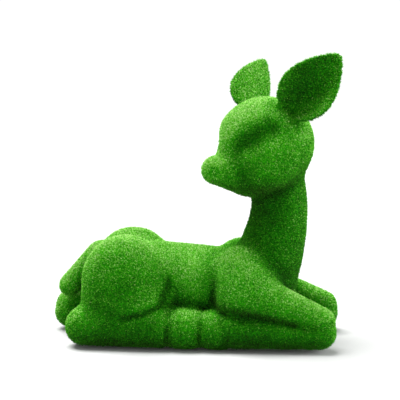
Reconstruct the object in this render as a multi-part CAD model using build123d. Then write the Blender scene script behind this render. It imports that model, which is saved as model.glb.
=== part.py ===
"""Reclining fawn figure with a flocked coat: cast shells, ears, legs, armature and weighted base.

Millimetres, +Z up, the chest towards +X and the fawn's right side towards -Y.  Each casting's
outer face stands PILE inside the finished coat.  One STEP file per piece is written to parts/.
"""
import os

import numpy as np
from build123d import *

# Coat, walls and base
PILE = 1.5
WALL = 4.0
PAD_T = 2.0
UNDERSIDE = 1.5
SEAM_GAP = 0.1
FIT = 0.15

# Torso: spine tube, haunches, thighs, shoulders and a flat-bottomed belly.
# The line that its sections are centred on is TORSO_LINE, as x and z.
SPINE = [(-92, 0, 71), (-4, 0, 65), (52, 0, 63)]
SPINE_R = [59, 58, 54]
HAUNCH_AT, HAUNCH_R, HAUNCH_TILT = (-86, 39, 72), (60, 43, 69), -12
THIGH, THIGH_R = [(-66, 54, 42), (-116, 51, 37)], [32, 26]
SHOULDER_AT, SHOULDER_R, SHOULDER_TILT = (60, 39, 67), (38, 34, 61), -8
BELLY_AT, BELLY_HALF, BELLY_ROUND = (-12, 0, 22), (98, 42, 22), 14
THIGH_BLEND, HAUNCH_BLEND, SHOULDER_BLEND, BELLY_BLEND = 24, 13, 14, 12
TORSO_LINE = [(-140, 72), (0, 62), (100, 62)]
TORSO_ENDS = (-170, 130)

# Neck tube, bottom to top
NECK = [(80, 0, 58), (99, 0, 122), (107.5, 0, 172), (103, 0, 226)]
NECK_R = [47, 41, 36.5, 34]
NECK_LOW, NECK_BORE_LOW, NECK_HIGH = 14, 20, 236

# Head: turned back over the right shoulder and dipped
HEAD_AT, HEAD_TURN, HEAD_DIP = (88, 0, 255), 35, -14
SKULL_R = (64, 60, 60)
MUZZLE, MUZZLE_R = [(34, 0, -26), (80, 0, -11.5)], [33, 18.5]
CHEEK_AT, CHEEK_R = (16, 30, -26), (34, 28, 26)
EYE, EYE_R = [(61, 31, 17), (48.5, 46, 23.5), (25, 57, 31)], [8, 11, 10]
FACE_BLEND, EYE_BLEND = 14, 17
HEAD_LINE = [(-10, 0), (45, -14), (92, -12)]
HEAD_ENDS = (-70, 110)

# Ears: cupped leaves, root and tip given forward, outward and up from the head's centre
EAR_ROOT = (-4, 38, 36)
EAR_TIP_RIGHT, EAR_TIP_LEFT = (-57, 91, 111), (-53, 86, 114)
EAR_FACING_RIGHT, EAR_FACING_LEFT = 0.0, 0.9
EAR_HALF_WIDTH, EAR_POINT, EAR_RIM, EAR_T, EAR_CUP = 32.5, 0.8, 2.5, 3.0, 6.0
EAR_SAG_ROOT, EAR_SAG_TIP = 0.85, 0.2
TENON_R, TENON_L, TENON_IN = 4.5, 15, 13
EAR_STATIONS = [0.0, 0.03, 0.08, 0.16, 0.28, 0.42, 0.56, 0.70, 0.82, 0.91, 0.97, 1.0]
CLIP_DEPTH, CLIP_R, CLIP_T = 10, 10, 2

# Tail and legs, written for the right side (y negative) and the left side
TAIL, TAIL_R = [(-128, 8, 107), (-172, 10, 65)], [20, 15]
FORE_RIGHT = {
    "upper": [(62, -56, 66), (158, -68, 36)], "upper_r": [35, 20],
    "lower": [(158, -68, 24), (50, -65, 26)], "lower_r": [21, 25],
    "hoof": [(26, -63.5, 24), (33, -63, 23)], "hoof_r": [26, 25.6]}
FORE_LEFT = {
    "upper": [(72, 52, 60), (168, 50, 34)], "upper_r": [34, 20],
    "lower": [(168, 50, 24), (50, 58, 21)], "lower_r": [21, 21],
    "hoof": [(26, 60.5, 24), (33, 60, 23)], "hoof_r": [25, 24.6]}
HIND_RIGHT = {
    "lower": [(-139, -60, 26), (-40, -63, 25.5)], "lower_r": [25, 26],
    "hoof": [(-15, -63, 25), (-7, -63.5, 24.5)], "hoof_r": [27, 26.6]}
HIND_LEFT = {
    "upper": [(-60, 54, 50), (-176, 34, 34)], "upper_r": [28, 20],
    "lower": [(-176, 34, 24), (-50, 58, 22)], "lower_r": [22, 22],
    "hoof": [(-15, 60, 24), (-7, 60.5, 23.5)], "hoof_r": [25, 24.6]}
TOES_MEET_X = 10

# Base plate, screws, pads, plug and ballast
PLATE_CENTRE_X, PLATE_L, PLATE_W, PLATE_T, PLATE_CORNER = -14, 178, 62, 6, 12
PLATE_TOP = PAD_T + PLATE_T
LUG_L, LUG_TOP, LUG_IN, LUG_OUT = 16, 22, 18, 50
SCREW_X, SCREW_Y, SCREW_R, SCREW_L = (-90, 62), 26, 2.0, 16
SCREW_HEAD_R, SCREW_HEAD_H = 4.0, 2.2
PAD_X, PAD_Y, PAD_R = (-78, 50), 18, 11
PLUG_X, PLUG_R, PLUG_LIP, PLUG_LIP_T = 38, 7, 2.5, 1
BALLAST_X, BALLAST_L, BALLAST_W, BALLAST_H, BALLAST_ROUND = -26, 106, 46, 26, 6

# Armature
ROD_R = 4.0
ROD_PATH = [(60, 0, 6), (79, 0, 66), (97, 0, 122), (106, 0, 172), (106, 0, 215), (102, 0, 244)]
FLANGE_R, FLANGE_T = 13, 4
SPACER_Z, SPACER_T = (128, 172), 8
SOCKET_R, SOCKET_TOP = 17, 232
DOWEL_R, DOWEL_L = 4.0, 26
DOWELS = {
    "fore_leg_right": [(72, -70, 62), (60, -56, 22)], "fore_leg_left": [(72, 68, 60), (60, 52, 22)],
    "hind_leg_right": [(-62, -54, 22), (-104, -52, 24)], "hind_leg_left": [(-62, 52, 22), (-104, 44, 24)]}
TAIL_DOWEL_R, TAIL_DOWEL_L = 3.0, 34
BATTEN_W, BATTEN_T, BATTEN_CLEAR = 12, 3, 0.5
BATTEN_CENTRE, BATTEN_ARC = (-20, 0, 60), (48, 150)

# Clear of the figure on every side
WIDE_X, WIDE_Y, UNDER, OVER = (-300, 300), (-200, 200), -100, 300


def vec(v):
    return np.asarray(v, float)


def unit(v):
    v = vec(v)
    return v / np.linalg.norm(v)


def blend(a, b, width):
    """Smooth union of two distances."""
    h = np.maximum(width - np.abs(a - b), 0) / width
    return np.minimum(a, b) - h * h * width * 0.25


def carve(a, b, width):
    """Smooth removal of b from a."""
    return -blend(-a, b, width)


def ellipsoid(p, centre, radii, tilt=0.0):
    """Distance to an ellipsoid tilted about Y."""
    c, s = np.cos(np.radians(tilt)), np.sin(np.radians(tilt))
    q = (p - vec(centre)) @ np.array([[c, 0, s], [0, 1, 0], [-s, 0, c]])
    r = vec(radii)
    k0 = np.linalg.norm(q / r, axis=-1)
    k1 = np.linalg.norm(q / r ** 2, axis=-1)
    return k0 * (k0 - 1) / np.maximum(k1, 1e-9)


def round_box(p, centre, half, radius):
    q = np.abs(p - vec(centre)) - (vec(half) - radius)
    outside = np.linalg.norm(np.maximum(q, 0), axis=-1)
    return outside + np.minimum(q.max(axis=-1), 0) - radius


def smooth_path(points, radii, steps=8):
    """Catmull-Rom points and radii through the given ones."""
    rows = [list(p) + [r] for p, r in zip(points, radii)]
    rows = vec([rows[0]] + rows + [rows[-1]])
    out = []
    for i in range(1, len(rows) - 2):
        a, b, c, d = rows[i - 1:i + 3]
        for t in np.arange(steps) / steps:
            out.append(0.5 * (2 * b + (c - a) * t + (2 * a - 5 * b + 4 * c - d) * t * t
                              + (3 * b - a - 3 * c + d) * t ** 3))
    out.append(rows[-2])
    out = vec(out)
    return out[:, :3], out[:, 3]


def tube(p, points, radii):
    """Distance to a chain of round cones."""
    d = np.full(len(p), 1e9)
    for a, b, ra, rb in zip(points[:-1], points[1:], radii[:-1], radii[1:]):
        a, ab = vec(a), vec(b) - vec(a)
        t = np.clip(((p - a) @ ab) / (ab @ ab), 0, 1)
        d = np.minimum(d, np.linalg.norm(p - a - t[:, None] * ab, axis=-1) - ra - t * (rb - ra))
    return d


def torso_field(p):
    path, radii = smooth_path(SPINE, SPINE_R)
    d = tube(p, path, radii)
    q = p * vec([1, -1, 1])
    for side in (p, q):
        haunch = ellipsoid(side, HAUNCH_AT, HAUNCH_R, HAUNCH_TILT)
        haunch = blend(haunch, tube(side, THIGH, THIGH_R), THIGH_BLEND)
        d = blend(d, haunch, HAUNCH_BLEND)
        d = blend(d, ellipsoid(side, SHOULDER_AT, SHOULDER_R, SHOULDER_TILT), SHOULDER_BLEND)
    return blend(d, round_box(p, BELLY_AT, BELLY_HALF, BELLY_ROUND), BELLY_BLEND)


NECK_PATH, NECK_RADII = smooth_path(NECK, NECK_R)


def neck_field(p):
    return tube(p, NECK_PATH, NECK_RADII)


def head_field(q):
    """Distance in the head's own axes: forward, to its left, up."""
    d = ellipsoid(q, (0, 0, 0), SKULL_R)
    d = blend(d, tube(q, MUZZLE, MUZZLE_R), FACE_BLEND)
    other = q * vec([1, -1, 1])
    for side in (q, other):
        d = blend(d, ellipsoid(side, CHEEK_AT, CHEEK_R), FACE_BLEND)
        d = carve(d, tube(side, EYE, EYE_R), EYE_BLEND)
    return d


FARTHEST = 150


def reach(field, centre, ways, level, far):
    """How far out from centre each way meets the level."""
    steps = np.arange(0, far, 1.5)
    grid = centre + ways[:, None, :] * steps[None, :, None]
    value = field(grid.reshape(-1, 3)).reshape(len(ways), len(steps))
    first = np.argmax(value > level, axis=1)
    near = steps[np.maximum(first - 1, 0)]
    beyond = steps[first]
    for _ in range(14):
        middle = (near + beyond) / 2
        inside = field(centre + ways * middle[:, None]) < level
        near = np.where(inside, middle, near)
        beyond = np.where(inside, beyond, middle)
    return (near + beyond) / 2


def skin(field, level, start, end, centre_at, across, up, stations, count):
    """Loft through closed sections of a field, taken on planes between start and end."""
    angles = np.linspace(0, 2 * np.pi, count, endpoint=False)
    ways = np.cos(angles)[:, None] * vec(across) + np.sin(angles)[:, None] * vec(up)
    rings = []
    for s in start + (end - start) * (0.5 - 0.5 * np.cos(np.linspace(0, np.pi, stations))):
        centre = vec(centre_at(s))
        points = centre + ways * reach(field, centre, ways, level, FARTHEST)[:, None]
        rings.append(Wire([Edge.make_spline([Vector(*q) for q in points], periodic=True)]))
    return Solid.make_loft(rings)


def ends(field, level, centre_at, low, high):
    """First and last station whose centre is clearly inside the level."""
    s = np.arange(low, high, 0.25)
    inside = field(vec([centre_at(v) for v in s])) < level - 0.5
    return s[inside][0], s[inside][-1]


def limb(points, radii):
    """Two balls of the given radii and the cone that wraps them, less the pile."""
    a, b = vec(points[0]), vec(points[1])
    ra, rb = radii[0] - PILE, radii[1] - PILE
    length = np.linalg.norm(b - a)
    lean = (ra - rb) / length
    flat = np.sqrt(1 - lean * lean)
    low, high = (ra * flat, ra * lean), (rb * flat, length + rb * lean)
    half = (ra * np.cos(-0.6), ra * np.sin(-0.6))
    top = (rb * np.cos(0.9), length + rb * np.sin(0.9))
    outline = Wire([
        Edge.make_line((0, 0, -ra), (0, 0, length + rb)),
        Edge.make_three_point_arc((0, 0, -ra), (half[0], 0, half[1]), (low[0], 0, low[1])),
        Edge.make_line((low[0], 0, low[1]), (high[0], 0, high[1])),
        Edge.make_three_point_arc((high[0], 0, high[1]), (top[0], 0, top[1]), (0, 0, length + rb))])
    solid = revolve(Face(outline), Axis.Z, 360)
    return Plane(origin=tuple(a), z_dir=tuple(b - a)).location * solid


def rod(start, way, radius, length):
    """Cylinder that begins at start and runs the given way."""
    plane = Plane(origin=tuple(vec(start)), z_dir=tuple(vec(way)))
    return plane.location * Cylinder(radius, length, align=(Align.CENTER, Align.CENTER, Align.MIN))


def block(x, y, z):
    """Box from low and high bounds on each axis."""
    size = [b - a for a, b in (x, y, z)]
    middle = [(a + b) / 2 for a, b in (x, y, z)]
    return Pos(*middle) * Box(*size)


def rounded_slab(centre_x, length, width, corner, z_low, z_high):
    outline = Pos(centre_x, 0, z_low) * RectangleRounded(length, width, corner)
    return extrude(outline, z_high - z_low)


def largest(shape):
    solids = shape.solids()
    return max(solids, key=lambda s: s.volume)


def leg(spec):
    shape = limb(spec["lower"], spec["lower_r"]) + limb(spec["hoof"], spec["hoof_r"])
    if "upper" in spec:
        shape = shape + limb(spec["upper"], spec["upper_r"])
    return shape


BELOW = block(WIDE_X, WIDE_Y, (UNDER, UNDERSIDE))
ON_FLOOR = (Align.CENTER, Align.CENTER, Align.MIN)


# Torso outside and cavity
def torso_centre(x):
    line_x, line_z = zip(*TORSO_LINE)
    return x, 0, np.interp(x, line_x, line_z)


def torso_skin(level):
    start, end = ends(torso_field, level, torso_centre, *TORSO_ENDS)
    return skin(torso_field, level, start, end, torso_centre, (0, 1, 0), (0, 0, 1), 19, 32)


torso_outer = torso_skin(-PILE) - BELOW
cavity = torso_skin(-PILE - WALL) - block(WIDE_X, WIDE_Y, (UNDER, UNDERSIDE + WALL))


# Neck outside and bore
def neck_centre(z):
    return np.interp(z, NECK_PATH[:, 2], NECK_PATH[:, 0]), 0, z


def neck_skin(level, low):
    return skin(neck_field, level, low, NECK_HIGH, neck_centre, (1, 0, 0), (0, 1, 0), 13, 20)


neck_outer = neck_skin(-PILE, NECK_LOW)
neck_bore = neck_skin(-PILE - WALL, NECK_BORE_LOW)

# Head outside and cavity, lofted along its forward axis and then turned into place
turn, dip = np.radians(HEAD_TURN), np.radians(HEAD_DIP)
LEVEL_FORWARD = vec([-np.cos(turn), -np.sin(turn), 0])
HEAD_LEFT = vec([np.sin(turn), -np.cos(turn), 0])
HEAD_FORWARD = LEVEL_FORWARD * np.cos(dip) + vec([0, 0, np.sin(dip)])
head_place = Plane(origin=HEAD_AT, x_dir=tuple(HEAD_FORWARD),
                   z_dir=tuple(np.cross(HEAD_FORWARD, HEAD_LEFT))).location


def head_centre(forward):
    line_forward, line_up = zip(*HEAD_LINE)
    return forward, 0, np.interp(forward, line_forward, line_up)


def head_skin(level):
    start, end = ends(head_field, level, head_centre, *HEAD_ENDS)
    return head_place * skin(head_field, level, start, end, head_centre, (0, 1, 0), (0, 0, 1), 19, 32)


head_outer = head_skin(-PILE)
head_cavity = head_skin(-PILE - WALL)

# Armature rod and the clear way it needs
rod_line = Edge.make_spline([Vector(*p) for p in ROD_PATH])


def along_rod(radius):
    start_plane = Plane(origin=rod_line @ 0, z_dir=rod_line % 0)
    return sweep(start_plane * Circle(radius), path=rod_line)


neck_rod = along_rod(ROD_R) - block(WIDE_X, WIDE_Y, (UNDER, PLATE_TOP))
rod_way = along_rod(ROD_R + FIT)


def ear(tip, facing, side):
    """Cupped leaf, its tenon, the hole for it and its clip; side is +1 for the fawn's left."""
    def at(c):
        return vec(HEAD_AT) + LEVEL_FORWARD * c[0] + HEAD_LEFT * c[1] * side + vec([0, 0, c[2]])

    root, length = at(EAR_ROOT), np.linalg.norm(at(tip) - at(EAR_ROOT))
    axis = unit(at(tip) - root)
    face = LEVEL_FORWARD * facing + side * HEAD_LEFT
    face = unit(face - axis * (face @ axis))
    across = np.cross(axis, face)
    rings = []
    for t in EAR_STATIONS:
        half = EAR_HALF_WIDTH * max(np.sin(np.pi * t ** 0.8), 0) ** EAR_POINT + EAR_RIM
        sag = half * (EAR_SAG_ROOT + (EAR_SAG_TIP - EAR_SAG_ROOT) * t)
        x = half * np.sin(np.linspace(-np.pi / 2, np.pi / 2, 9))
        slope = 2 * sag * x / half ** 2
        normal = np.stack([-slope, np.ones(9)], 1) / np.sqrt(1 + slope ** 2)[:, None]
        middle = np.stack([x, sag * (x / half) ** 2 - EAR_CUP], 1)
        sheets = []
        for sign in (1, -1):
            flat = (middle + sign * normal * EAR_T / 2)[::sign]
            sheets.append([Vector(*(root + axis * t * length + across * u + face * v)) for u, v in flat])
        front, back = sheets
        rings.append(Wire([
            Edge.make_spline(front), Edge.make_line(front[-1], back[0]),
            Edge.make_spline(back), Edge.make_line(back[-1], front[0])]))
    leaf = Solid.make_loft(rings)
    foot = root - face * EAR_CUP
    tenon = rod(foot + axis * TENON_IN, -axis, TENON_R, TENON_IN + TENON_L)
    hole = rod(foot + axis * 2 * TENON_IN, -axis, TENON_R + FIT, 3 * TENON_IN + TENON_L)
    clip = rod(foot - axis * CLIP_DEPTH, -axis, CLIP_R, CLIP_T) - rod(foot, -axis, TENON_R + FIT, 2 * TENON_L)
    return largest(leaf - head_outer) + tenon, hole, clip


ear_right, ear_hole_right, clip_right = ear(EAR_TIP_RIGHT, EAR_FACING_RIGHT, -1)
ear_left, ear_hole_left, clip_left = ear(EAR_TIP_LEFT, EAR_FACING_LEFT, 1)

# Legs and tail, trimmed by the torso, the neck and the floor
legs = {}
for name, spec in (("fore_leg_right", FORE_RIGHT), ("fore_leg_left", FORE_LEFT),
                   ("hind_leg_right", HIND_RIGHT), ("hind_leg_left", HIND_LEFT)):
    shape = leg(spec) - [torso_outer, neck_outer, BELOW]
    if name.startswith("fore"):
        shape = shape - block((WIDE_X[0], TOES_MEET_X + SEAM_GAP / 2), WIDE_Y, (UNDER, OVER))
    else:
        shape = shape - block((TOES_MEET_X - SEAM_GAP / 2, WIDE_X[1]), WIDE_Y, (UNDER, OVER))
    legs[name] = largest(shape)
tail_way = unit(vec(TAIL[1]) - vec(TAIL[0]))
tail_dowel_start = vec(TAIL[0]) - tail_way * 8
tail_dowel = rod(tail_dowel_start, tail_way, TAIL_DOWEL_R, TAIL_DOWEL_L)
tail_dowel_hole = rod(tail_dowel_start - tail_way, tail_way, TAIL_DOWEL_R + FIT, TAIL_DOWEL_L + 2)
tail = largest(limb(TAIL, TAIL_R) - torso_outer) - tail_dowel_hole

leg_dowels = []
dowel_holes = []
for name, middles in DOWELS.items():
    holes = []
    for middle in middles:
        start = vec(middle) - vec([0, DOWEL_L / 2, 0])
        leg_dowels.append(rod(start, (0, 1, 0), DOWEL_R, DOWEL_L))
        holes.append(rod(start - vec([0, 0.5, 0]), (0, 1, 0), DOWEL_R + FIT, DOWEL_L + 1))
    legs[name] = legs[name] - holes
    dowel_holes += holes

# Base plate with its screws, pads, plug and ballast
opening = rounded_slab(PLATE_CENTRE_X, PLATE_L, PLATE_W, PLATE_CORNER, -1, PLATE_TOP + FIT)
base_plate = rounded_slab(PLATE_CENTRE_X, PLATE_L - 4 * FIT, PLATE_W - 4 * FIT, PLATE_CORNER,
                          PAD_T, PLATE_TOP)
base_plate = base_plate - Pos(PLUG_X, 0, 0) * Cylinder(PLUG_R + FIT, 4 * PLATE_TOP)
lugs = []
screws = []
screw_holes = []
for x in SCREW_X:
    for side in (-1, 1):
        y = side * SCREW_Y
        lug_y = sorted((side * LUG_IN, side * LUG_OUT))
        lugs.append(block((x - LUG_L / 2, x + LUG_L / 2), lug_y, (UNDERSIDE, LUG_TOP)))
        head = Pos(x, y, PAD_T) * Cone(SCREW_HEAD_R, SCREW_R, SCREW_HEAD_H, align=ON_FLOOR)
        screws.append(head + Pos(x, y, PAD_T) * Cylinder(SCREW_R, SCREW_L, align=ON_FLOOR))
        sink = Pos(x, y, PAD_T) * Cone(SCREW_HEAD_R + FIT, SCREW_R + FIT, SCREW_HEAD_H + FIT, align=ON_FLOOR)
        screw_holes.append(sink + Pos(x, y, 0) * Cylinder(SCREW_R + FIT, PAD_T + SCREW_L + 1, align=ON_FLOOR))
base_plate = base_plate - screw_holes
foot_pads = [Pos(x, side * PAD_Y, 0) * Cylinder(PAD_R, PAD_T, align=ON_FLOOR)
             for x in PAD_X for side in (-1, 1)]
vent_plug = Pos(PLUG_X, 0, PAD_T - PLUG_LIP_T) * Cylinder(PLUG_R + PLUG_LIP, PLUG_LIP_T, align=ON_FLOOR)
vent_plug = vent_plug + Pos(PLUG_X, 0, PAD_T) * Cylinder(PLUG_R, PLATE_T + 1, align=ON_FLOOR)
ballast = Pos(BALLAST_X, 0, PLATE_TOP) * Box(BALLAST_L, BALLAST_W, BALLAST_H, align=ON_FLOOR)
ballast = fillet(ballast.edges().filter_by(Axis.Z), BALLAST_ROUND)
rod_flange = Pos(ROD_PATH[0][0] + 1, 0, PLATE_TOP) * Cylinder(FLANGE_R, FLANGE_T, align=ON_FLOOR) - rod_way

# Torso halves
torso = torso_outer - cavity
torso = torso + [lug & torso_outer for lug in lugs]
torso = torso - [opening, rod_way, tail_dowel_hole] - screw_holes - dowel_holes
body_shell_right = largest(torso & block(WIDE_X, (WIDE_Y[0], -SEAM_GAP / 2), (UNDER, OVER)))
body_shell_left = largest(torso & block(WIDE_X, (SEAM_GAP / 2, WIDE_Y[1]), (UNDER, OVER)))

# Batten glued under the seam of the two halves, following the roof
arc = np.radians(np.linspace(*BATTEN_ARC, 15))
arc_ways = np.stack([np.cos(arc), 0 * arc, np.sin(arc)], 1)
batten_edges = []
for depth in (BATTEN_CLEAR, BATTEN_CLEAR + BATTEN_T):
    far = reach(torso_field, vec(BATTEN_CENTRE), arc_ways, -PILE - WALL - depth, FARTHEST)
    batten_edges.append([Vector(*p) for p in vec(BATTEN_CENTRE) + arc_ways * far[:, None]])
over, under = batten_edges
batten_face = Face(Wire([Edge.make_spline(over), Edge.make_line(over[-1], under[-1]),
                         Edge.make_spline(under[::-1]), Edge.make_line(under[0], over[0])]))
seam_batten = extrude(batten_face, BATTEN_W / 2, dir=(0, 1, 0), both=True)
seam_batten = largest(seam_batten - along_rod(ROD_R + 3))

# Neck, head and what joins them
neck_shell = largest(neck_outer - [neck_bore, torso_outer, head_outer, rod_way])
spacer_stock = neck_skin(-PILE - WALL - FIT, NECK_BORE_LOW)
neck_spacers = [largest((spacer_stock & block(WIDE_X, WIDE_Y, (z, z + SPACER_T))) - rod_way)
                for z in SPACER_Z]
head_shell = largest(head_outer - [head_cavity, rod_way, ear_hole_right, ear_hole_left])
socket_post = Pos(ROD_PATH[-2][0], 0, 0) * Cylinder(SOCKET_R, SOCKET_TOP, align=ON_FLOOR)
head_socket = largest((head_skin(-PILE - WALL - FIT) & socket_post) - rod_way)

pieces = {
    "body_shell_right": [body_shell_right], "body_shell_left": [body_shell_left],
    "neck_shell": [neck_shell], "head_shell": [head_shell],
    "ear_right": [ear_right], "ear_left": [ear_left], "tail": [tail],
    "base_plate": [base_plate], "base_screws": screws, "foot_pads": foot_pads,
    "vent_plug": [vent_plug], "ballast": [ballast], "neck_rod": [neck_rod],
    "rod_flange": [rod_flange], "neck_spacers": neck_spacers, "head_socket": [head_socket],
    "ear_clips": [clip_right, clip_left], "tail_dowel": [tail_dowel],
    "leg_dowels": leg_dowels, "seam_batten": [seam_batten]}
for name, shape in legs.items():
    pieces[name] = [shape]

# Centre the footprint on the origin and write the files
everything = [solid for group in pieces.values() for solid in group]
low_x = min(s.bounding_box().min.X for s in everything)
high_x = max(s.bounding_box().max.X for s in everything)
low_y = min(s.bounding_box().min.Y for s in everything)
high_y = max(s.bounding_box().max.Y for s in everything)
centring = Pos(-(low_x + high_x) / 2, -(low_y + high_y) / 2, 0)
for name, group in pieces.items():
    solids = [solid for shape in group for solid in (centring * shape).solids()]
    whole = solids[0] if len(solids) == 1 else Compound(children=solids)
    export_step(whole, f"parts/{name}.step")
    print(name, len(solids), round(sum(s.volume for s in solids)))
print("centring", centring.position)
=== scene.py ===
"""Flocked reclining fawn: a green flock coat over the cast pieces, on a pale floor."""
import math

import bpy
import numpy as np
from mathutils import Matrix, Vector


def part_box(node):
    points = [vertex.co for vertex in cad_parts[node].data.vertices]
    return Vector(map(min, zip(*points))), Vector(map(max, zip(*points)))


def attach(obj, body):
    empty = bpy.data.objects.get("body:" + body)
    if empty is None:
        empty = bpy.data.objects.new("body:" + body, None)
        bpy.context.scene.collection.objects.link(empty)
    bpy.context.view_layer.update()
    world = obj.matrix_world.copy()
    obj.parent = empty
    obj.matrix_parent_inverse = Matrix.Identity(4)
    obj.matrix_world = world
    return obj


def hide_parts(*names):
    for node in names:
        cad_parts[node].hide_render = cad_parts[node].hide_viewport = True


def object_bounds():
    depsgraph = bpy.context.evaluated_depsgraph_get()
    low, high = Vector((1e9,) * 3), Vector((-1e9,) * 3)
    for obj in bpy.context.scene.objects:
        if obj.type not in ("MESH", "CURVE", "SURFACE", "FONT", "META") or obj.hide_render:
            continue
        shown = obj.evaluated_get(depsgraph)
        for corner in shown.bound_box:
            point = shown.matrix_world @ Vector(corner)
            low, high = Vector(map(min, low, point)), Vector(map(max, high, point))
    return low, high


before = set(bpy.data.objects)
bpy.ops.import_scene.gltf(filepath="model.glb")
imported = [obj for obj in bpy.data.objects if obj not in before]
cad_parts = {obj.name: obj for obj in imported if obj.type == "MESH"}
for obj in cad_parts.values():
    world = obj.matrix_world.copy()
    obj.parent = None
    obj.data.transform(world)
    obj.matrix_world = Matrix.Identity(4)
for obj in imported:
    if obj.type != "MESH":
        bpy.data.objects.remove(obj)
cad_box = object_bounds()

import openvdb
from mathutils import Vector

# Sizes in metres. The castings are run together on a grid of voxels that reaches MARGIN past the CAD. The
# coat lies COAT outside them, and COAT_SMOOTHING is how many times it is smoothed
VOXEL = 0.0018
BAND_VOXELS = 14
MARGIN = 0.030
COAT = 0.0006
COAT_SMOOTHING = 2
SEED = 11

# How softly the castings run into each other under the coat. A fore leg is sharp at the floor and soft at
# the shoulder, between two heights
NECK_JOIN, HIND_LEG_JOIN, TAIL_JOIN, EAR_JOIN, HEAD_JOIN = 0.022, 0.010, 0.008, 0.005, 0.008
FORE_LEG_HEIGHTS = (0.055, 0.095)
FORE_LEG_JOIN = (0.006, 0.022)

# Single fibres, sunk a little at the foot and never below FLOOR_GAP
FIBRE_HEIGHT = 0.0024
FIBRE_WIDTH = 0.0013
FIBRES_PER_FACE = 1.9
FIBRE_SINK = 0.0005
FIBRE_LEAN = 0.5
FLOOR_GAP = 0.0002
HEIGHT_RANGE, WIDTH_RANGE = (0.55, 1.15), (0.7, 1.25)

# The underside is what lies below UNDERSIDE and faces down more steeply than DOWNWARD
UNDERSIDE = 0.004
DOWNWARD = -0.7

# Heights and places along the figure that part the fibres into pieces
EARS_ABOVE, HEAD_ABOVE, LEGS_BELOW = 0.285, 0.200, 0.075
FRONT_FROM, RUMP_TO = 0.030, -0.070

# Tone of the flock, 0 dark to 1 light, starting from TONE, with light and shade painted into it. It has
# painted light where the coat faces up, by TOP_PAINTED_LIGHT. PAINTED_CAVITY_SHADE_AND_EDGE_LIGHT is painted
# shade where the
# form closes round a point: size of a blurred ball round it, the part of the ball that an open form fills,
# and weight. Where less is filled it is painted light instead, for up to PAINTED_EDGE_LIGHT_LIMIT less.
# PAINTED_OVERHANG_SHADOW is a painted shadow below an overhang: size of the ball, its height above the
# point, way out from it, and weight. LOW_SHADE is painted shade towards the floor from LOW_HEIGHT down,
# CREASE_SHADE painted shade by the depth of a crease in metres, and EAR_PAINTED_SHADE_AND_LIGHT painted
# shade in the hollow of an ear with painted light past its rim.
TONE = 0.46
TOP_PAINTED_LIGHT = 0.25
PAINTED_CAVITY_SHADE_AND_EDGE_LIGHT = [(0.004, 0.49, 1.0), (0.010, 0.46, 0.9), (0.024, 0.43, 0.3)]
PAINTED_EDGE_LIGHT_LIMIT = 0.03
EAR_PAINTED_SHADE_AND_LIGHT = 0.24
LOW_SHADE, LOW_HEIGHT = 0.13, 0.060
CREASE_SHADE = 26.0
PAINTED_OVERHANG_SHADOW = [(0.016, 0.046, 0.004, 0.36), (0.030, 0.120, 0.000, 0.30)]

# The coat between the fibres has only this much of its tone, a painted shade under them. Fibres differ from
# one another by a normal spread, and each has painted shade at its root and painted light at its tip, off
# its own tone
PAINTED_SHADE_BETWEEN_FIBRES = 0.8
FIBRE_SPREAD, PAINTED_ROOT_SHADE, PAINTED_TIP_LIGHT = 0.17, 0.16, 0.18

# The head in its own axes: forward, to its left, up. The brow fills out the skull and the eye is a soft
# hollow that climbs from the bridge of the nose towards the temple. EYE_SHADE is painted shade in it, and
# fades over EYE_SPREAD round it
HEAD_AT = np.array([0.0925, -0.0083, 0.2550])
HEAD_REACH = 0.090
HEAD_TURN, HEAD_DIP = math.radians(35), math.radians(-14)
BROW_R, BROW_BLEND = np.array([0.0608, 0.0570, 0.0570]), 0.008
EYE = [(0.060, 0.031, 0.017), (0.0475, 0.0445, 0.023), (0.025, 0.056, 0.030)]
EYE_R = [0.0110, 0.0145, 0.0115]
EYE_BLEND = 0.012
EYE_SHADE, EYE_SPREAD = 0.20, 0.006

CASTINGS = ["body_shell_right", "body_shell_left", "neck_shell", "head_shell", "ear_right", "ear_left",
            "tail", "fore_leg_right", "fore_leg_left", "hind_leg_right", "hind_leg_left"]
UNDER_PIECES = ["base_plate", "vent_plug", "base_screws"]

BAND = BAND_VOXELS * VOXEL
low = np.array(cad_box[0]) - MARGIN
high = np.array(cad_box[1]) + MARGIN
grid_low = np.floor(low / VOXEL).astype(int)
grid_shape = np.ceil(high / VOXEL).astype(int) - grid_low + 1
along_x, along_y, along_z = [(np.arange(grid_shape[k]) + grid_low[k]).astype(np.float32) * VOXEL
                             for k in range(3)]

# Creases pressed into the coat beyond CREASE_SIDE: side, depth, half-width and the line as steps ahead of
# the place where the toes meet, with heights
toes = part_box("hind_leg_right")[1][0]
CREASES = [
    (-1, 0.0036, 0.0045, [(0.018, 0.098), (0.017, 0.080), (0.014, 0.058)]),
    (-1, 0.0036, 0.0050, [(-0.041, 0.094), (-0.043, 0.078), (-0.050, 0.060)]),
    (-1, 0.0034, 0.0024, [(0.000, 0.048), (-0.002, 0.010)]),
    (-1, 0.0034, 0.0024, [(-0.042, 0.050), (-0.043, 0.000)]),
    (-1, 0.0016, 0.0050, [(0.037, 0.046), (0.034, 0.010)]),
    (-1, 0.0036, 0.0035, [(0.024, 0.058), (0.044, 0.052), (0.080, 0.045), (0.116, 0.036)]),
    (-1, 0.0036, 0.0035, [(-0.106, 0.038), (-0.075, 0.046), (-0.048, 0.056)]),
    (1, 0.0036, 0.0045, [(0.018, 0.098), (0.017, 0.080), (0.014, 0.058)]),
    (1, 0.0036, 0.0050, [(-0.041, 0.094), (-0.043, 0.078), (-0.050, 0.060)]),
    (1, 0.0034, 0.0024, [(0.000, 0.048), (0.001, 0.010)]),
    (1, 0.0034, 0.0024, [(-0.040, 0.048), (-0.041, 0.000)])]
# A crease begins with CREASE_START of its depth and reaches all of it along its first piece
CREASE_SIDE, CREASE_FADE = 0.030, 0.010
CREASE_START = 0.1


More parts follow.
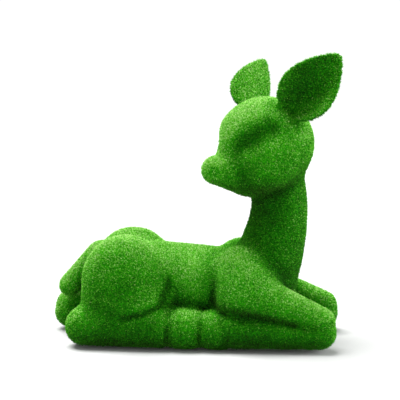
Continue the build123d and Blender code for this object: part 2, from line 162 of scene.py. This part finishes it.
def node_mesh(name):
    """Points and triangles of a CAD node."""
    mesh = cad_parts[name].data
    mesh.calc_loop_triangles()
    points = np.zeros(len(mesh.vertices) * 3, np.float32)
    mesh.vertices.foreach_get("co", points)
    triangles = np.zeros(len(mesh.loop_triangles) * 3, np.int32)
    mesh.loop_triangles.foreach_get("vertices", triangles)
    return points.reshape(-1, 3), triangles.reshape(-1, 3)


def dense_level_set(points, **faces):
    """Dense signed distance to a closed surface, cut off at the band."""
    grid = openvdb.FloatGrid.createLevelSetFromPolygons(
        points.astype(np.float32), transform=openvdb.createLinearTransform(voxelSize=VOXEL),
        halfWidth=BAND_VOXELS, **faces)
    dense = np.zeros(grid_shape, np.float32)
    grid.copyToArray(dense, ijk=tuple(int(v) for v in grid_low))
    return dense


def distance(name):
    """Dense signed distance to a CAD node."""
    points, triangles = node_mesh(name)
    return dense_level_set(points, triangles=triangles.astype(np.uint32))


def join(a, b, width):
    """Smooth union of two distance arrays; width may vary over the grid."""
    h = np.maximum(width - np.abs(a - b), 0) / width
    return np.minimum(a, b) - h * h * width * 0.25


def ramp(low_z, high_z, low_width, high_width):
    """A blend width that changes with height."""
    t = np.clip((along_z - low_z) / (high_z - low_z), 0, 1)
    return (low_width + (high_width - low_width) * t).astype(np.float32)[None, None, :]


def soften(field, rounds):
    """Light smoothing along each axis."""
    for _ in range(rounds):
        for axis in range(3):
            field = (np.roll(field, 1, axis) + 2 * field + np.roll(field, -1, axis)) / 4
    return field


def tube(p, points, radii):
    """Distance to a chain of round cones."""
    nearest = np.full(p.shape[:-1], 1.0, np.float32)
    for a, b, radius_a, radius_b in zip(points[:-1], points[1:], radii[:-1], radii[1:]):
        a, along = np.array(a), np.array(b) - np.array(a)
        t = np.clip(((p - a) @ along) / (along @ along), 0, 1)
        away = np.linalg.norm(p - a - t[..., None] * along, axis=-1)
        nearest = np.minimum(nearest, away - radius_a - t * (radius_b - radius_a))
    return nearest


def head_place(points):
    """Points in the head's own axes."""
    level = np.array([-math.cos(HEAD_TURN), -math.sin(HEAD_TURN), 0])
    left = np.array([math.sin(HEAD_TURN), -math.cos(HEAD_TURN), 0])
    forward = level * math.cos(HEAD_DIP) + np.array([0, 0, math.sin(HEAD_DIP)])
    return (points - HEAD_AT) @ np.stack([forward, left, np.cross(forward, left)], 1)


def eye_distance(own, side):
    """Distance to the closed eye on one side, for points in the head's own axes."""
    return tube(own * np.array([1, side, 1]), EYE, EYE_R)


def face(field):
    """The head with its brow filled out and its closed eyes pressed in."""
    first = ((HEAD_AT - HEAD_REACH) / VOXEL).astype(int) - grid_low
    last = np.minimum(((HEAD_AT + HEAD_REACH) / VOXEL).astype(int) - grid_low, grid_shape)
    block = tuple(slice(a, b) for a, b in zip(first, last))
    along = [axis[part] for axis, part in zip((along_x, along_y, along_z), block)]
    own = head_place(np.stack(np.meshgrid(*along, indexing="ij"), -1))
    size = np.linalg.norm(own / BROW_R, axis=-1)
    brow = size * (size - 1) / np.linalg.norm(own / BROW_R ** 2, axis=-1)
    shaped = join(field[block], brow, BROW_BLEND)
    for side in (1, -1):
        shaped = -join(-shaped, eye_distance(own, side), EYE_BLEND)
    field[block] = shaped
    return field


def joined_castings():
    """Distance to all the castings run together and to the pieces of the underside, less the coat."""
    field = np.minimum(distance("body_shell_right"), distance("body_shell_left"))
    field = join(field, distance("neck_shell"), NECK_JOIN)
    for name in ("fore_leg_right", "fore_leg_left"):
        field = join(field, distance(name), ramp(*FORE_LEG_HEIGHTS, *FORE_LEG_JOIN))
    for name in ("hind_leg_right", "hind_leg_left"):
        field = join(field, distance(name), HIND_LEG_JOIN)
    field = join(field, distance("tail"), TAIL_JOIN)
    head = face(distance("head_shell"))
    for name in ("ear_right", "ear_left"):
        head = join(head, distance(name), EAR_JOIN)
    field = join(field, head, HEAD_JOIN)
    for name in UNDER_PIECES:
        field = np.minimum(field, distance(name))
    return field - COAT


def polygons(field):
    """Quad surface of a distance array at zero."""
    grid = openvdb.FloatGrid(BAND)
    grid.copyFromArray(field, ijk=tuple(int(v) for v in grid_low))
    grid.transform = openvdb.createLinearTransform(voxelSize=VOXEL)
    points, quads = grid.convertToQuads(isovalue=0.0)
    return points, quads.astype(np.int64)


def keep_faces(quads, keep):
    """The points that some faces use, and those faces renumbered to them."""
    used, renumbered = np.unique(quads[keep], return_inverse=True)
    return used, renumbered.reshape(-1, 4)


def outer_island(points, quads):
    """The connected surface that holds the highest point, without the castings' inner walls."""
    # Each round gives a point the lowest label of its faces, until every island has one label
    label = np.arange(len(points))
    while True:
        lowest = label[quads].min(axis=1)
        new = label.copy()
        np.minimum.at(new, quads.ravel(), np.repeat(lowest, 4))
        new = new[new]
        if np.array_equal(new, label):
            break
        label = new
    top = label[np.argmax(points[:, 2])]
    used, kept = keep_faces(quads, label[quads[:, 0]] == top)
    return points[used], kept


def crease_depth():
    """How far the creases push the coat in, over the grid."""
    pushed = np.zeros(grid_shape, np.float32)
    x, z = np.meshgrid(along_x, along_z, indexing="ij")
    for side, depth, half_width, line in CREASES:
        flat = np.zeros(x.shape, np.float32)
        for piece, ((x0, z0), (x1, z1)) in enumerate(zip(line[:-1], line[1:])):
            run, rise = x1 - x0, z1 - z0
            t = np.clip(((x - toes - x0) * run + (z - z0) * rise) / (run * run + rise * rise), 0, 1)
            away = np.hypot(x - toes - x0 - t * run, z - z0 - t * rise)
            started = np.clip(CREASE_START + t + piece, 0, 1)
            flat = np.maximum(flat, depth * started * np.exp(-(away / half_width) ** 2))
        beside = np.clip((along_y * side - CREASE_SIDE) / CREASE_FADE, 0, 1)
        pushed = np.maximum(pushed, flat[:, None, :] * beside[None, :, None])
    return pushed


def blurred(field, sigma):
    """Gaussian blur of the whole grid."""
    spectrum = np.fft.rfftn(field)
    for axis, size in enumerate(grid_shape):
        step = np.fft.rfftfreq(size) if axis == 2 else np.fft.fftfreq(size)
        shape = [1, 1, 1]
        shape[axis] = -1
        spectrum *= np.exp(-2 * (math.pi * step * sigma / VOXEL) ** 2).reshape(shape)
    return np.fft.irfftn(spectrum, s=tuple(grid_shape)).astype(np.float32)


def sampled(field, points):
    """Trilinear reading of the grid at points."""
    place = np.clip(points / VOXEL - grid_low, 0, grid_shape - 1.001)
    corner = place.astype(int)
    part = place - corner
    value = np.zeros(len(points))
    for offset in np.ndindex(2, 2, 2):
        weight = np.prod(np.where(offset, part, 1 - part), axis=1)
        value += weight * field[tuple((corner + offset).T)]
    return value


def ear_painted_shade_and_rim_light(name, points, outward):
    """Painted shade near an ear's plane on what faces the way its cup does: 1 in its middle, and painted
    light at -0.5 past its rim.
    """
    leaf = node_mesh(name)[0]
    middle = leaf.mean(axis=0)
    axes = np.linalg.svd(leaf - middle, full_matrices=False)[2]
    leaf_u, leaf_v, leaf_w = ((leaf - middle) @ axes.T).T
    half_u, half_v = np.abs(leaf_u).max(), np.abs(leaf_v).max()
    # The cup opens to the side that its rim stands on
    rim = (leaf_u / half_u) ** 2 + (leaf_v / half_v) ** 2
    opens = 1 if np.corrcoef(rim, leaf_w)[0, 1] > 0 else -1
    u, v, w = ((points - middle) @ axes.T).T
    inner = np.clip(1.1 - (u / half_u) ** 2 - (v / half_v) ** 2, -0.5, 1)
    near = np.abs(w) < half_v
    return inner * near * np.clip(outward @ axes[2] * opens * 1.5, 0, 1)


def mesh_object(name, points, faces, material, shade_and_tone):
    """Mesh from arrays, with a tone of 0 to 1 on each point, which holds painted light and shade."""
    mesh = bpy.data.meshes.new(name)
    size = faces.shape[1]
    mesh.vertices.add(len(points))
    mesh.vertices.foreach_set("co", np.asarray(points, np.float32).ravel())
    mesh.loops.add(faces.size)
    mesh.loops.foreach_set("vertex_index", faces.ravel().astype(np.int32))
    mesh.polygons.add(len(faces))
    mesh.polygons.foreach_set("loop_start", np.arange(0, faces.size, size, dtype=np.int32))
    mesh.update(calc_edges=True)
    mesh.validate()
    mesh.shade_smooth()
    layer = mesh.attributes.new("shade_and_tone", "FLOAT", "POINT")
    layer.data.foreach_set("value", np.asarray(shade_and_tone, np.float32))
    mesh.materials.append(material)
    obj = bpy.data.objects.new(name, mesh)
    bpy.context.scene.collection.objects.link(obj)
    return obj


def new_material(name, roughness, specular=0.5, metallic=0.0):
    """A material with its shader, its nodes and its links."""
    material = bpy.data.materials.new(name)
    material.use_nodes = True
    shader = material.node_tree.nodes["Principled BSDF"]
    shader.inputs["Roughness"].default_value = roughness
    shader.inputs["Specular IOR Level"].default_value = specular
    shader.inputs["Metallic"].default_value = metallic
    return material, shader, material.node_tree.nodes, material.node_tree.links


def noise(nodes, links, scale, detail, stretch=(1, 1, 1)):
    """Noise in the object's own metres, stretched along an axis for grain."""
    place = nodes.new("ShaderNodeTexCoord")
    mapping = nodes.new("ShaderNodeMapping")
    mapping.inputs["Scale"].default_value = stretch
    texture = nodes.new("ShaderNodeTexNoise")
    texture.inputs["Scale"].default_value = scale
    texture.inputs["Detail"].default_value = detail
    links.new(place.outputs["Object"], mapping.inputs["Vector"])
    links.new(mapping.outputs["Vector"], texture.inputs["Vector"])
    return texture.outputs["Fac"]


def colour_ramp(nodes, links, source, stops):
    """Colours at places along a value."""
    node = nodes.new("ShaderNodeValToRGB")
    points = node.color_ramp.elements
    while len(points) < len(stops):
        points.new(0.5)
    for point, (place, colour) in zip(points, stops):
        point.position = place
        point.color = (*colour, 1)
    links.new(source, node.inputs["Fac"])
    return node.outputs["Color"]


def bump(nodes, links, shader, height, strength, depth):
    """Fine relief that only the shading shows, its depth in metres."""
    node = nodes.new("ShaderNodeBump")
    node.inputs["Strength"].default_value = strength
    node.inputs["Distance"].default_value = depth
    links.new(height, node.inputs["Height"])
    links.new(node.outputs["Normal"], shader.inputs["Normal"])


def varied(nodes, links, base, source, amount):
    """A base value that a 0 to 1 noise moves up and down by half the amount, and its middle not at all."""
    node = nodes.new("ShaderNodeMath")
    node.operation = "MULTIPLY_ADD"
    node.inputs[1].default_value = amount
    centred = nodes.new("ShaderNodeMath")
    centred.operation = "ADD"
    centred.inputs[1].default_value = -amount / 2
    links.new(base, centred.inputs[0])
    links.new(source, node.inputs[0])
    links.new(centred.outputs[0], node.inputs[2])
    return node.outputs[0]


def flock_material(name, stops, sheen):
    """Green nylon flock: the tone on the points with its painted light and shade, with speckle at the size
    of a fibre and slow patches.
    """
    material, shader, nodes, links = new_material(name, roughness=0.8, specular=0.05)
    shader.inputs["Sheen Weight"].default_value = sheen
    shader.inputs["Sheen Roughness"].default_value = 0.5
    shader.inputs["Sheen Tint"].default_value = (0.30, 1.0, 0.08, 1)
    shade_and_tone = nodes.new("ShaderNodeAttribute")
    shade_and_tone.attribute_name = "shade_and_tone"
    speckle = noise(nodes, links, scale=480, detail=2)
    patches = noise(nodes, links, scale=40, detail=3)
    mixed = varied(nodes, links, shade_and_tone.outputs["Fac"], speckle, amount=0.85)
    mixed = varied(nodes, links, mixed, patches, amount=0.2)
    links.new(colour_ramp(nodes, links, mixed, stops), shader.inputs["Base Color"])
    bump(nodes, links, shader, speckle, strength=0.6, depth=0.0005)
    return material


def wood_material(name, dark, light, stretch):
    """Sawn wood with grain along one axis."""
    material, shader, nodes, links = new_material(name, roughness=0.6, specular=0.3)
    grain = noise(nodes, links, scale=260, detail=6, stretch=stretch)
    links.new(colour_ramp(nodes, links, grain, [(0.35, dark), (0.7, light)]), shader.inputs["Base Color"])
    bump(nodes, links, shader, grain, strength=0.3, depth=0.0003)
    return material


def grained_material(name, dark, light, scale, roughness, depth, metallic=0.0):
    """Fine-grained surface whose colour, gloss and height follow one noise."""
    material, shader, nodes, links = new_material(name, roughness, metallic=metallic)
    grain = noise(nodes, links, scale, detail=5)
    links.new(colour_ramp(nodes, links, grain, [(0.3, dark), (0.7, light)]), shader.inputs["Base Color"])
    shine = nodes.new("ShaderNodeMapRange")
    shine.inputs["To Min"].default_value = roughness * 0.8
    shine.inputs["To Max"].default_value = min(roughness * 1.25, 1)
    links.new(grain, shine.inputs["Value"])
    links.new(shine.outputs["Result"], shader.inputs["Roughness"])
    bump(nodes, links, shader, grain, strength=0.4, depth=depth)
    return material


def fibres(points, quads, normal, shade_and_tone, random):
    """Three-sided tapered blades standing on the coat, about FIBRES_PER_FACE on each face."""
    count = random.poisson(FIBRES_PER_FACE, len(quads))
    owner = np.repeat(np.arange(len(quads)), count)
    corners = points[quads[owner]]
    normal = normal[owner]
    u, v = random.random(len(owner))[:, None], random.random(len(owner))[:, None]
    foot = (corners[:, 0] * (1 - u) * (1 - v) + corners[:, 1] * u * (1 - v)
            + corners[:, 2] * u * v + corners[:, 3] * (1 - u) * v)
    lean = random.normal(size=(len(owner), 3)) * FIBRE_LEAN
    way = normal + lean - normal * (lean * normal).sum(1, keepdims=True)
    way /= np.linalg.norm(way, axis=1, keepdims=True)
    side = np.cross(way, random.normal(size=(len(owner), 3)))
    side /= np.linalg.norm(side, axis=1, keepdims=True) + 1e-12
    other = np.cross(way, side)
    height = FIBRE_HEIGHT * random.uniform(*HEIGHT_RANGE, len(owner))[:, None]
    radius = FIBRE_WIDTH * random.uniform(*WIDTH_RANGE, len(owner))[:, None] / 2
    base = foot - normal * FIBRE_SINK
    ring = [base + (side * math.cos(a) + other * math.sin(a)) * radius
            for a in (0, 2 * math.pi / 3, 4 * math.pi / 3)]
    tip = base + way * (height + FIBRE_SINK)
    verts = np.stack(ring + [tip], 1)
    verts[:, :, 2] = np.maximum(verts[:, :, 2], FLOOR_GAP)
    start = np.arange(len(owner))[:, None] * 4
    faces = np.concatenate([start + np.array(f) for f in ([0, 1, 3], [1, 2, 3], [2, 0, 3], [2, 1, 0])])
    own = shade_and_tone[quads[owner]].mean(axis=1) + random.normal(0, FIBRE_SPREAD, len(owner))
    # Painted shade at the root and painted light at the tip
    shade = np.stack([own - PAINTED_ROOT_SHADE] * 3 + [own + PAINTED_TIP_LIGHT], 1)
    return verts.reshape(-1, 3), faces, np.clip(shade, 0, 1).ravel()


random = np.random.default_rng(SEED)

# Colours of the flock, from the darkest tone to the lightest: shaded and lit greens, the lightest a painted
# whitish highlight
SHADED_TO_LIT_GREENS = [(0.0, (0.0003, 0.012, 0.0001)), (0.25, (0.003, 0.100, 0.0003)), (0.50, (0.022, 0.320, 0.0015)),
          (0.75, (0.160, 0.580, 0.030)), (1.0, (0.600, 0.870, 0.320))]
coat_green = flock_material("flock_coat", SHADED_TO_LIT_GREENS, sheen=0.25)
fibre_green = flock_material("flock_fibre", SHADED_TO_LIT_GREENS, sheen=0.35)

# The coat's surface: the castings without their hollows, with the creases pressed in
solid_points, solid_quads = outer_island(*polygons(joined_castings()))
coat = dense_level_set(solid_points, quads=solid_quads.astype(np.uint32))
creases = crease_depth()
coat = soften(coat + creases, COAT_SMOOTHING)
points, quads = outer_island(*polygons(coat))

# The tone of each point, with light and shade painted in from its own way out and what is round it
occupancy = np.clip(0.5 - coat / VOXEL, 0, 1)
outward = np.stack([sampled(slope, points) for slope in np.gradient(coat, VOXEL)], axis=1)
outward /= np.linalg.norm(outward, axis=1, keepdims=True) + 1e-12
# Painted light where the coat faces up and painted shade towards the floor
shade_and_tone = TONE + TOP_PAINTED_LIGHT * outward[:, 2] - LOW_SHADE * np.clip(1 - points[:, 2] / LOW_HEIGHT, 0, 1)
# Painted shade in the creases
shade_and_tone -= CREASE_SHADE * sampled(creases, points)
# Painted shade where the form closes round a point, painted light on open edges
for sigma, open_part, weight in PAINTED_CAVITY_SHADE_AND_EDGE_LIGHT:
    cavity_shade_and_edge_light = sampled(blurred(occupancy, sigma), points) - open_part
    shade_and_tone -= weight * np.maximum(cavity_shade_and_edge_light, -PAINTED_EDGE_LIGHT_LIMIT)
# Painted shade in the hollows of the ears and painted light past their rims
for name in ("ear_right", "ear_left"):
    shade_and_tone -= EAR_PAINTED_SHADE_AND_LIGHT * ear_painted_shade_and_rim_light(name, points, outward)
# Painted shade in the eye hollows
on_head = head_place(points)
for side in (1, -1):
    eye_gap = np.maximum(eye_distance(on_head, side), 0)
    shade_and_tone -= EYE_SHADE * np.exp(-(eye_gap / EYE_SPREAD) ** 2)
# Painted shadow under overhangs such as the head
for sigma, above, out, weight in PAINTED_OVERHANG_SHADOW:
    overhead = points + outward * out + np.array([0, 0, above])
    shade_and_tone -= weight * sampled(blurred(occupancy, sigma), overhead)
shade_and_tone = np.clip(shade_and_tone, 0, 1)

# The coat is left open under the base plate, which shows there itself, and the underside has no fibres
corners = points[quads]
centre = corners.mean(axis=1)
normal = np.cross(corners[:, 2] - corners[:, 0], corners[:, 3] - corners[:, 1])
normal /= np.linalg.norm(normal, axis=1, keepdims=True) + 1e-12
plate_low, plate_high = [np.array(c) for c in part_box("base_plate")]
under = (normal[:, 2] < DOWNWARD) & (centre[:, 2] < UNDERSIDE)
on_plate = (centre[:, :2] > plate_low[:2]).all(axis=1) & (centre[:, :2] < plate_high[:2]).all(axis=1)
used, coat_quads = keep_faces(quads, ~(under & on_plate))
# The coat under the fibres gets painted shade
flock_coat = mesh_object("flock_coat", points[used], coat_quads, coat_green, shade_and_tone[used] * PAINTED_SHADE_BETWEEN_FIBRES)
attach(flock_coat, "root")
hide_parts(*CASTINGS)

x, z = centre[:, 0], centre[:, 2]
below_head = z <= HEAD_ABOVE
regions = {
    "fibres_ears": z > EARS_ABOVE,
    "fibres_head": (z <= EARS_ABOVE) & (z > HEAD_ABOVE),
    "fibres_neck": below_head & (x > FRONT_FROM) & (z > LEGS_BELOW),
    "fibres_front_legs": (z <= LEGS_BELOW) & (x > FRONT_FROM),
    "fibres_flank": below_head & (x <= FRONT_FROM) & (x > RUMP_TO),
    "fibres_rump": below_head & (x <= RUMP_TO)}
for name, region in regions.items():
    keep = region & ~under
    verts, faces, shade = fibres(points, quads[keep], normal[keep], shade_and_tone, random)
    piece = mesh_object(name, verts, faces, fibre_green, shade)
    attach(piece, "root")

# Finishes of the pieces inside and underneath. The wood's grain runs along the axis that is stretched
plywood = wood_material("birch_plywood", (0.36, 0.22, 0.11), (0.62, 0.45, 0.26), stretch=(0.15, 1, 1))
beech = wood_material("beech", (0.40, 0.22, 0.10), (0.60, 0.38, 0.20), stretch=(1, 0.12, 1))
pine = wood_material("pine_block", (0.50, 0.32, 0.14), (0.74, 0.55, 0.30), stretch=(1, 1, 0.15))
steel = grained_material("zinc_steel", (0.42, 0.43, 0.44), (0.66, 0.67, 0.68),
                         scale=900, roughness=0.35, metallic=1.0, depth=0.00003)
felt = grained_material("felt", (0.015, 0.030, 0.014), (0.060, 0.090, 0.050),
                        scale=1500, roughness=0.95, depth=0.0004)
rubber = grained_material("black_rubber", (0.010, 0.010, 0.010), (0.035, 0.035, 0.034),
                          scale=700, roughness=0.6, depth=0.0001)
plaster = grained_material("cast_plaster", (0.46, 0.44, 0.40), (0.70, 0.68, 0.63),
                           scale=350, roughness=0.85, depth=0.0004)
FINISHES = {
    "base_plate": plywood, "base_screws": steel, "foot_pads": felt, "vent_plug": rubber, "ballast": plaster,
    "neck_rod": steel, "rod_flange": steel, "neck_spacers": pine, "head_socket": pine, "ear_clips": steel,
    "tail_dowel": beech, "leg_dowels": beech, "seam_batten": pine}
for name, finish in FINISHES.items():
    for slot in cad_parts[name].material_slots:
        slot.material = finish

# Floor, light and camera
floor_material, floor_shader = new_material("floor", roughness=0.9, specular=0.1)[:2]
floor_shader.inputs["Base Color"].default_value = (0.70, 0.70, 0.70, 1)
bpy.ops.mesh.primitive_circle_add(vertices=96, radius=12, fill_type="NGON", location=(0, 0, 0))
floor = bpy.context.object
floor.name = "floor"
floor.data.materials.append(floor_material)

# The sky is white near the horizon, where the camera sees it behind the floor, and dim overhead
world = bpy.data.worlds.new("studio")
bpy.context.scene.world = world
world.use_nodes = True
backdrop = world.node_tree.nodes["Background"]
backdrop.inputs["Strength"].default_value = 1.05
direction = world.node_tree.nodes.new("ShaderNodeTexCoord")
height = world.node_tree.nodes.new("ShaderNodeSeparateXYZ")
world.node_tree.links.new(direction.outputs["Generated"], height.inputs["Vector"])
sky = colour_ramp(world.node_tree.nodes, world.node_tree.links, height.outputs["Z"],
                  [(0.24, (1, 1, 1)), (0.42, (0.22, 0.22, 0.22))])
world.node_tree.links.new(sky, backdrop.inputs["Color"])


def soft_sun(name, way_from, strength, spread):
    """Soft light from far away, the same over the whole floor."""
    data = bpy.data.lights.new(name, "SUN")
    data.energy = strength
    data.angle = math.radians(spread)
    obj = bpy.data.objects.new(name, data)
    obj.rotation_euler = Vector(way_from).to_track_quat("Z", "Y").to_euler()
    bpy.context.scene.collection.objects.link(obj)


soft_sun("key", (-0.30, 0.16, 1.0), strength=4.6, spread=40)
soft_sun("side", (1.0, 0.05, 0.35), strength=2.5, spread=40)

# The camera looks at the fawn's right side, a little from the front of it and from above
VIEW_AZIMUTH = math.radians(4)
VIEW_DISTANCE = 1.25
VIEW_HEIGHT = 0.312
AIM = Vector((0.0084, -0.0083, 0.182))
FRAME_WIDTH = 0.524
SENSOR_MM = 36
camera_data = bpy.data.cameras.new("camera")
camera = bpy.data.objects.new("camera", camera_data)
camera.location = AIM + Vector((math.sin(VIEW_AZIMUTH), -math.cos(VIEW_AZIMUTH), 0)) * VIEW_DISTANCE
camera.location.z = VIEW_HEIGHT
camera.rotation_euler = (AIM - camera.location).to_track_quat("-Z", "Y").to_euler()
camera_data.sensor_width = SENSOR_MM
camera_data.lens = SENSOR_MM * (AIM - camera.location).length / FRAME_WIDTH
bpy.context.scene.collection.objects.link(camera)
bpy.context.scene.camera = camera
bpy.context.scene.view_settings.view_transform = "Standard"
